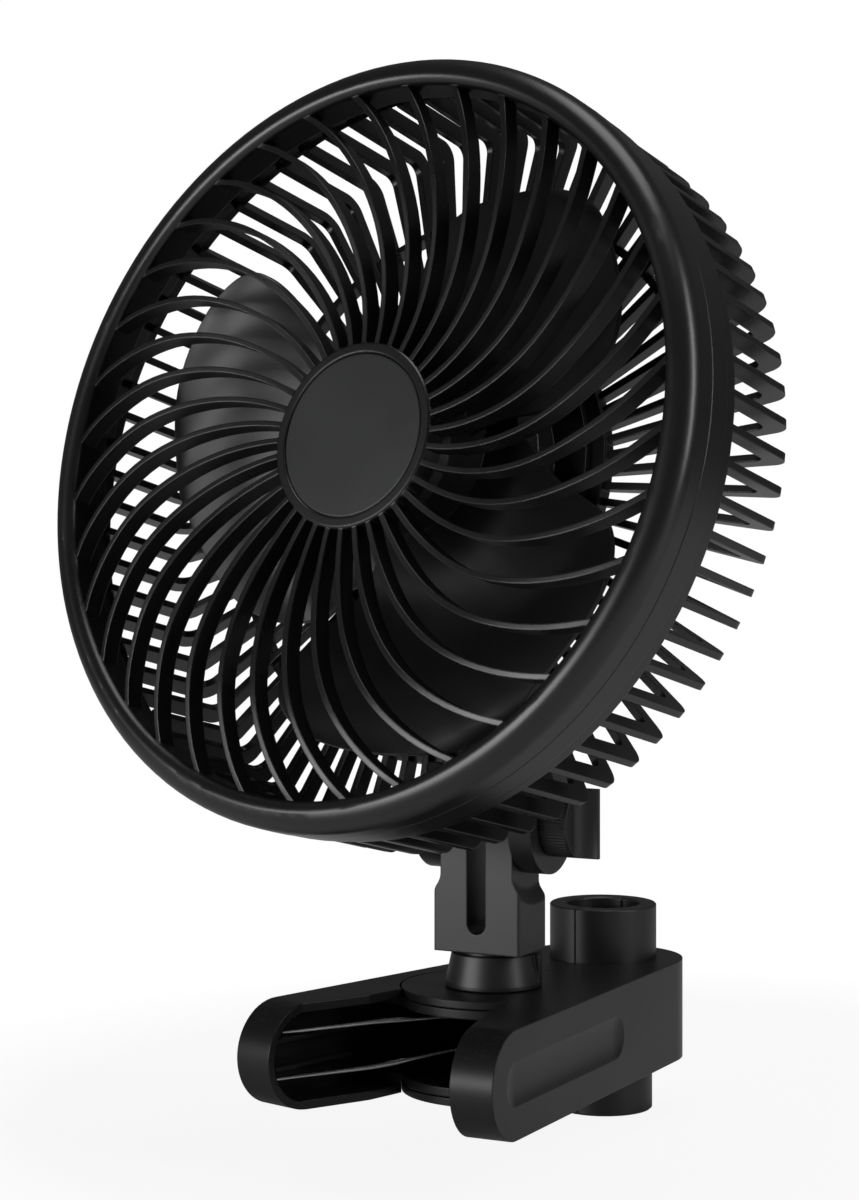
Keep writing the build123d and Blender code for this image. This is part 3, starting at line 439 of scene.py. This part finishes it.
class CLIPFAN_OT_mount(bpy.types.Operator):
    """Plastic of the rear housing, yoke, tilt block and knobs"""
    bl_idname = "clipfan.mount"
    bl_label = "Finish Mount"

    def execute(self, context):
        colour = context.scene.clipfan_finish.mount_colour
        dress(MOUNT_PARTS, moulded("Mount Plastic", colour, 0.4, depth=0.08, dust=0.2))
        dress(KNOBS, moulded("Knob Plastic", colour, 0.45, depth=0.08, dust=0.2))
        return {"FINISHED"}


class CLIPFAN_OT_clamp(bpy.types.Operator):
    """Plastic of the jaws and their collars"""
    bl_idname = "clipfan.clamp"
    bl_label = "Finish Clamp"

    def execute(self, context):
        colour = context.scene.clipfan_finish.mount_colour
        dress(CLAMP_PARTS, moulded("Clamp Plastic", colour, 0.36, depth=0.06, dust=0.2,
                                   specular=0.32))
        dress(COLLARS, moulded("Collar Plastic", colour, 0.42, depth=0.05, dust=0.2))
        return {"FINISHED"}


class CLIPFAN_OT_metals(bpy.types.Operator):
    """Plated screws, turned steel, bronze bearings and the parts of the motor"""
    bl_idname = "clipfan.metals"
    bl_label = "Finish Metals"

    def execute(self, context):
        dress(PLATED, metal("Zinc Plate", (0.56, 0.56, 0.54), 0.32, (1, 1, 1), 700))
        dress(TURNED, metal("Turned Steel", (0.5, 0.5, 0.5), 0.28, (1, 6, 1), 500))
        dress(("bearing_front", "bearing_rear"),
              metal("Bearing Bronze", (0.48, 0.31, 0.15), 0.4, (1, 1, 1), 900))
        dress(("stator",),
              metal("Lamination Steel", (0.3, 0.3, 0.31), 0.45, (1, 9, 1), 900, depth=0.2))
        dress(("stator_coils",),
              metal("Copper Winding", (0.7, 0.3, 0.12), 0.3, (1, 8, 1), 600, depth=0.3))
        dress(("magnet_ring",), metal("Ferrite", (0.07, 0.07, 0.075), 0.6, (1, 1, 1), 500))
        dress(("circuit_board",),
              moulded("Solder Mask", (0.01, 0.09, 0.03), 0.3, depth=0.02, dust=0.0))
        return {"FINISHED"}


def clamp_point(side, out, ahead):
    """A plan point of one jaw, as the solids have it: out from the hinge axis and ahead of it."""
    return (side * (out * cos(JAW_ANGLE) + ahead * sin(JAW_ANGLE)),
            HINGE_Y + out * sin(JAW_ANGLE) - ahead * cos(JAW_ANGLE))


class CLIPFAN_OT_spring(bpy.types.Operator):
    """Winds the torsion spring: two coils round the hinge sleeve, a bridge and two free legs"""
    bl_idname = "clipfan.spring"
    bl_label = "Wind Spring"

    def execute(self, context):
        sizes = context.scene.clipfan_spring

        def at_wall(side, ahead, height, clear=WALL_GAP):
            """A point of the wire beside a handle's wall."""
            return Vector((*clamp_point(side, HANDLE_INSIDE - sizes.wire - clear, ahead), height))

        def on_coil(angle, height):
            """A point of the wire on a coil."""
            return Vector((sizes.coil * sin(angle), HINGE_Y - sizes.coil * cos(angle), height))

        def coil_angle(point, leaving):
            """Angle of the coil where a straight leg meets it."""
            way = Vector((point.x, point.y - HINGE_Y)) * leaving
            return atan2(way.y, way.x) + leaving * asin(sizes.coil / way.length)

        def half(way, leg):
            """Knots (point, direction) from a free end to the bridge; way is 1 for the top."""
            free_end = at_wall(-1, leg["ahead"], leg["height"])
            far = at_wall(1, BRIDGE_AHEAD, sizes.middle + way * sizes.bridge,
                          clear=HANDLE_RIB + RIB_GAP)
            first, last = coil_angle(free_end, -1), coil_angle(far, 1) + 2 * pi
            top = sizes.bridge + sizes.drop
            entry = on_coil(first, sizes.middle + way * top)
            elbow = free_end.lerp(entry, leg["share"])
            elbow.z = leg["elbow_z"]
            start, into = (elbow - free_end).normalized(), (entry - elbow).normalized()
            found = [(free_end, start), (elbow - start * ELBOW_HALF, start),
                     (elbow + into * ELBOW_HALF, into)]
            slope = -way * sizes.drop / (sizes.coil * (last - first))
            for step in range(COIL_STEPS + 1):
                angle = first + (last - first) * step / COIL_STEPS
                height = sizes.middle + way * (top - sizes.drop * step / COIL_STEPS)
                ahead = Vector((cos(angle), sin(angle), slope)).normalized()
                found.append((on_coil(angle, height), ahead))
            return found + [(far, Vector((cos(last), sin(last), 0)))]

        upper = half(1, UPPER_LEG)
        lower = half(-1, LOWER_LEG)
        turn = upper[-1][0] + upper[-1][1] * sizes.bridge - Vector((0, 0, sizes.bridge))
        knots = upper + [(turn, Vector((0, 0, -1)))]
        knots += [(point, -way) for point, way in reversed(lower)]

        curve = bpy.data.curves.new("Spring Wire", "CURVE")
        curve.dimensions = "3D"
        curve.resolution_u = 10
        curve.bevel_depth = sizes.wire
        curve.bevel_resolution = 6
        curve.use_fill_caps = True
        line = curve.splines.new("BEZIER")
        line.bezier_points.add(len(knots) - 1)
        for index, (point, way) in enumerate(knots):
            knot = line.bezier_points[index]
            before = (point - knots[index - 1][0]).length if index else END_REACH
            after = (knots[index + 1][0] - point).length if index + 1 < len(knots) else END_REACH
            knot.co = point
            knot.handle_left_type = knot.handle_right_type = "FREE"
            knot.handle_left = point - way * before * HANDLE_SHARE
            knot.handle_right = point + way * after * HANDLE_SHARE
        colour = context.scene.clipfan_finish.steel_colour
        curve.materials.append(metal("Spring Steel", colour, 0.2, (1, 1, 6), 900))
        wound = bpy.data.objects.new("Wound Curve", curve)
        context.scene.collection.objects.link(wound)
        drawn = wound.evaluated_get(context.evaluated_depsgraph_get())
        mesh = bpy.data.meshes.new_from_object(drawn)
        bpy.data.objects.remove(wound)
        spring = bpy.data.objects.new("wound_spring", mesh)
        context.scene.collection.objects.link(spring)
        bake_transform(spring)
        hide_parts("torsion_spring")
        return {"FINISHED"}


# ---------------------------------------------------------------- stage
def softbox(name, size, power, place, target):
    """A rectangular area lamp aimed at a point."""
    lamp = bpy.data.lights.new(name, "AREA")
    lamp.shape = "RECTANGLE"
    lamp.size, lamp.size_y = size
    lamp.energy = power
    holder = bpy.data.objects.new(name, lamp)
    holder.location = place
    holder.rotation_euler = (Vector(target) - Vector(place)).to_track_quat("-Z", "Y").to_euler()
    bpy.context.scene.collection.objects.link(holder)


def set_camera(scene, settings):
    """The camera that the picture is taken with."""
    lens = bpy.data.cameras.new("Camera")
    lens.lens = settings.lens
    lens.sensor_width = 36.0
    lens.shift_y = (HORIZON_ROW - PICTURE_ROWS / 2) / PICTURE_ROWS
    camera = bpy.data.objects.new("Camera", lens)
    camera.location = settings.camera
    camera.rotation_euler = (pi / 2, 0, settings.heading)
    scene.collection.objects.link(camera)
    scene.camera = camera


def set_room(scene, settings):
    """A world that is white to the camera and a little light to everything else."""
    world = bpy.data.worlds.new("White Room")
    scene.world = world
    world.use_nodes = True
    tree = world.node_tree
    background = tree.nodes["Background"]
    background.inputs["Color"].default_value = (1, 1, 1, 1)
    rays = tree.nodes.new("ShaderNodeLightPath")
    seen = math_node(tree, "MAXIMUM", rays.outputs["Is Camera Ray"],
                     rays.outputs["Is Transmission Ray"])
    level = spread(tree, seen, 0, 1, settings.ambient, 1.0)
    link(tree, level, background.inputs["Strength"])


def pale_floor():
    """A pale floor that keeps shadows near the clamp and is plain white further away."""
    material, tree, shader = blank("Pale Floor")
    shader.inputs["Base Color"].default_value = FLOOR_COLOUR
    shader.inputs["Roughness"].default_value = 0.75
    place = tree.nodes.new("ShaderNodeTexCoord").outputs["Object"]
    away = tree.nodes.new("ShaderNodeVectorMath")
    away.operation = "LENGTH"
    link(tree, place, away.inputs[0])
    fade = spread(tree, away.outputs["Value"], FADE_START, FADE_END)
    glow = tree.nodes.new("ShaderNodeEmission")
    rays = tree.nodes.new("ShaderNodeLightPath")
    whiten = math_node(tree, "MULTIPLY", rays.outputs["Is Camera Ray"],
                       math_node(tree, "ADD", fade, NEAR_WHITE, clamp=True))
    mix = tree.nodes.new("ShaderNodeMixShader")
    link(tree, whiten, mix.inputs[0])
    link(tree, shader.outputs[0], mix.inputs[1])
    link(tree, glow.outputs[0], mix.inputs[2])
    link(tree, mix.outputs[0], tree.nodes["Material Output"].inputs["Surface"])
    return material


class CLIPFAN_OT_stage(bpy.types.Operator):
    """Pale floor, white room, soft lamps and the camera"""
    bl_idname = "clipfan.stage"
    bl_label = "Set Stage"

    def execute(self, context):
        scene = context.scene
        settings = scene.clipfan_stage
        set_camera(scene, settings)
        set_room(scene, settings)
        bpy.ops.mesh.primitive_circle_add(vertices=96, radius=FLOOR_RADIUS, fill_type="NGON",
                                          location=(0, 0, CAD_BOX[0].z - FLOOR_DROP))
        floor = context.object
        floor.name = "floor"
        floor.data.materials.append(pale_floor())
        for name, size, power, place in LAMPS:
            softbox(name, size, power * settings.lamps, place, LAMP_TARGET)
        scene.view_settings.view_transform = "Standard"
        return {"FINISHED"}


# ---------------------------------------------------------------- panel and start
class CLIPFAN_PT_panel(bpy.types.Panel):
    """Lists the steps of the finish"""
    bl_idname = "CLIPFAN_PT_panel"
    bl_label = "Clip Fan"
    bl_space_type = "VIEW_3D"
    bl_region_type = "UI"
    bl_category = "Clip Fan"

    def draw(self, context):
        for step in STEPS:
            self.layout.operator(step.bl_idname)
        scene = context.scene
        for group in (scene.clipfan_finish, scene.clipfan_spring, scene.clipfan_stage):
            box = self.layout.box()
            for name in group.__annotations__:
                box.prop(group, name)


STEPS = (CLIPFAN_OT_grilles, CLIPFAN_OT_blades, CLIPFAN_OT_mount, CLIPFAN_OT_clamp,
         CLIPFAN_OT_metals, CLIPFAN_OT_spring, CLIPFAN_OT_stage)
CLASSES = (CLIPFAN_PG_finish, CLIPFAN_PG_spring, CLIPFAN_PG_stage, *STEPS, CLIPFAN_PT_panel)


def register():
    """Adds the classes and their settings."""
    for item in CLASSES:
        bpy.utils.register_class(item)
    bpy.types.Scene.clipfan_finish = bpy.props.PointerProperty(type=CLIPFAN_PG_finish)
    bpy.types.Scene.clipfan_spring = bpy.props.PointerProperty(type=CLIPFAN_PG_spring)
    bpy.types.Scene.clipfan_stage = bpy.props.PointerProperty(type=CLIPFAN_PG_stage)


def unregister():
    """Takes the classes and their settings away."""
    del bpy.types.Scene.clipfan_stage
    del bpy.types.Scene.clipfan_spring
    del bpy.types.Scene.clipfan_finish
    for item in reversed(CLASSES):
        bpy.utils.unregister_class(item)


def main():
    """Runs every step in order."""
    register()
    for step in STEPS:
        group, name = step.bl_idname.split(".")
        getattr(getattr(bpy.ops, group), name)()


if __name__ == "__main__":
    main()
